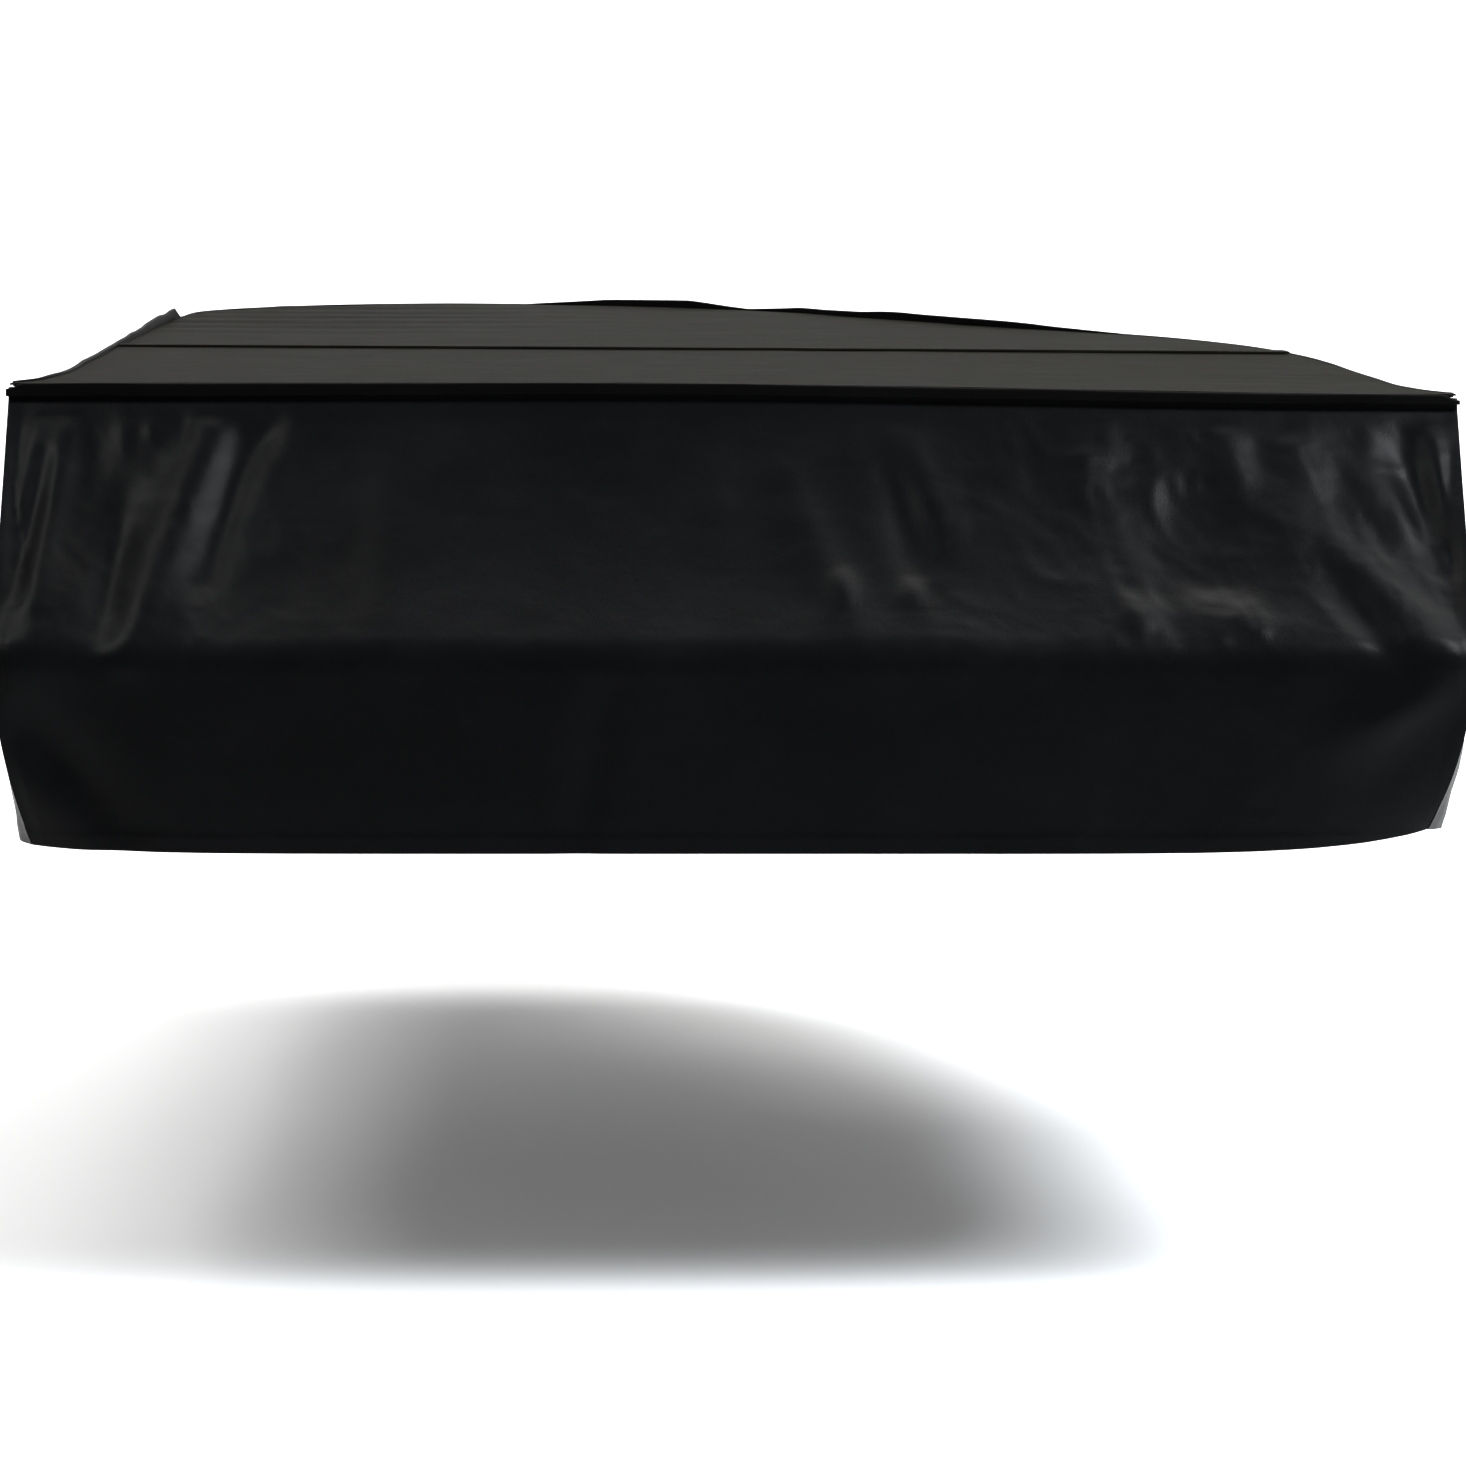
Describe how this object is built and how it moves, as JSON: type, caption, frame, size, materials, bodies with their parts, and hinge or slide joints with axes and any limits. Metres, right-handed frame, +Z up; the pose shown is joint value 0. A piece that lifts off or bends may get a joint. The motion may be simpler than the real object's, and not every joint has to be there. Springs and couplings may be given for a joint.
{
  "type": "grand piano cover",
  "caption": "Fitted hollow dust cover for a grand piano in soft black coated cloth, with a flat top, a front drop that breaks over the key bed, and hanging sides.",
  "frame": {"origin": "on the underside of the top, over the middle of the lid, where the piano's lid carries the cover", "axes": "+X to the treble side, +Y to the tail, +Z up"},
  "size_m": [1.53, 1.7433, 0.4732],
  "materials": {
    "skirt_cloth": "soft semi-gloss coated cloth, fine grain, creased",
    "top_cloth": "soft semi-matte coated cloth, fine grain, faintly streaked",
    "welt_cloth": "matte coated cloth, folded and sewn"
  },
  "bodies": {
    "root": {"top_front_panel": "top_cloth", "top_rear_panel": "top_cloth", "front_panel": "skirt_cloth", "left_side_panel": "skirt_cloth", "tail_panel": "skirt_cloth", "bent_side_panel": "skirt_cloth", "right_side_panel": "skirt_cloth", "front_welt": "welt_cloth", "left_welt": "welt_cloth", "right_welt": "welt_cloth"}
  },
  "joints": []
}
